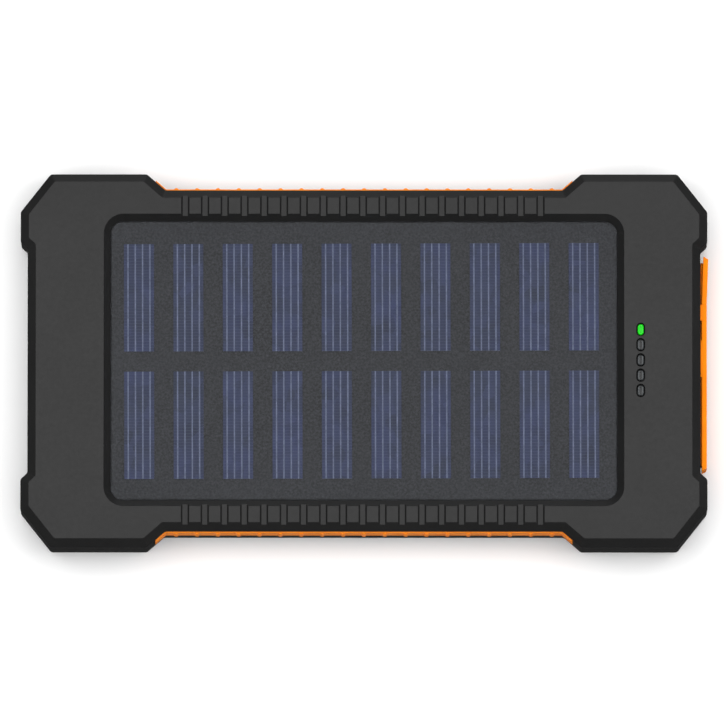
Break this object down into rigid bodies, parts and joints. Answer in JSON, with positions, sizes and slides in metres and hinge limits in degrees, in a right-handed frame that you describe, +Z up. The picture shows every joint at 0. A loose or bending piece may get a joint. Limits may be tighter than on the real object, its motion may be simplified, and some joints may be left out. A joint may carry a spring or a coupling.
{
  "type": "solar power bank",
  "caption": "Rugged black solar power bank with orange side grips, a dark blue solar panel in its face, round-ended charge lights and an orange silicone port cover.",
  "frame": {"origin": "centre of the flat back", "axes": "+X along the long side towards the sockets, +Y across and away from the power button, +Z up out of the solar panel"},
  "size_m": [0.1422, 0.0776, 0.015],
  "materials": {
    "case_black": "fine satin texture",
    "button_black": "satin",
    "grip_orange": "satin",
    "cover_orange": "satin",
    "panel_black": "matte",
    "solar_cell": "dark blue crystalline",
    "tinned": "satin",
    "panel_clear": "orange-peel clear coat",
    "soft_black": "matte",
    "lens_green": "translucent green",
    "lens_clear": "translucent clear",
    "led_white": "gloss",
    "reflector": "bright",
    "chip_black": "matte",
    "board_green": "solder-mask gloss",
    "socket_steel": "satin",
    "socket_insulator": "matte",
    "contact_gold": "satin",
    "capacitor_tan": "matte",
    "screw_steel": "blackened",
    "battery_foil": "satin foil",
    "lead_red": "satin",
    "lead_black": "satin"
  },
  "bodies": {
    "case": {"top_shell": "case_black", "bottom_shell": "case_black", "side_grip_far": "grip_orange", "side_grip_near": "grip_orange", "panel_backing": "panel_black", "solar_cells": "solar_cell", "cell_busbars": "tinned", "panel_film": "panel_clear", "panel_adhesive": "soft_black", "indicator_lens_lit": "lens_green", "indicator_lenses": "lens_clear", "indicator_seal": "soft_black", "indicator_leds": "led_white", "tact_switch": "chip_black", "switch_board": "board_green", "usb_a_shell_1": "socket_steel", "usb_a_shell_2": "socket_steel", "usb_a_tongue_1": "socket_insulator", "usb_a_tongue_2": "socket_insulator", "usb_a_contacts": "contact_gold", "micro_usb_shell": "socket_steel", "micro_usb_tongue": "socket_insulator", "port_cover_anchor": "cover_orange", "main_board": "board_green", "power_inductor": "chip_black", "power_chips": "chip_black", "board_capacitors": "capacitor_tan", "board_resistors": "chip_black", "case_screws": "screw_steel", "board_screws": "screw_steel", "battery": "battery_foil", "battery_tape": "soft_black", "battery_foam": "soft_black", "battery_board": "board_green", "battery_lead_plus": "lead_red", "battery_lead_minus": "lead_black", "solar_lead_plus": "lead_red", "solar_lead_minus": "lead_black", "switch_leads": "lead_black", "torch_lens": "lens_clear", "torch_reflector": "reflector", "torch_board": "board_green", "torch_leds": "led_white", "torch_lead_plus": "lead_red", "torch_lead_minus": "lead_black"},
    "power_button": {"power_button": "button_black", "switch_stem": "chip_black"},
    "micro_usb_flap": {"micro_usb_flap": "cover_orange"},
    "usb_a_flap": {"usb_a_flap": "cover_orange"}
  },
  "joints": [
    {"name": "power_button_press", "type": "slide", "parent": "case", "child": "power_button", "axis": [0, 1, 0], "range_m": [0, 0.0003], "stiffness_N_per_m": 1500, "springref_m": -0.0002},
    {"name": "micro_usb_flap_hinge", "type": "hinge", "parent": "case", "child": "micro_usb_flap", "pos_m": [0.0709, 0.01196, 0.0066], "axis": [0, 0, -1], "range_deg": [0, 88]},
    {"name": "usb_a_flap_hinge", "type": "hinge", "parent": "case", "child": "usb_a_flap", "pos_m": [0.0709, 0.00854, 0.0066], "axis": [0, 0, 1], "range_deg": [0, 90]}
  ]
}
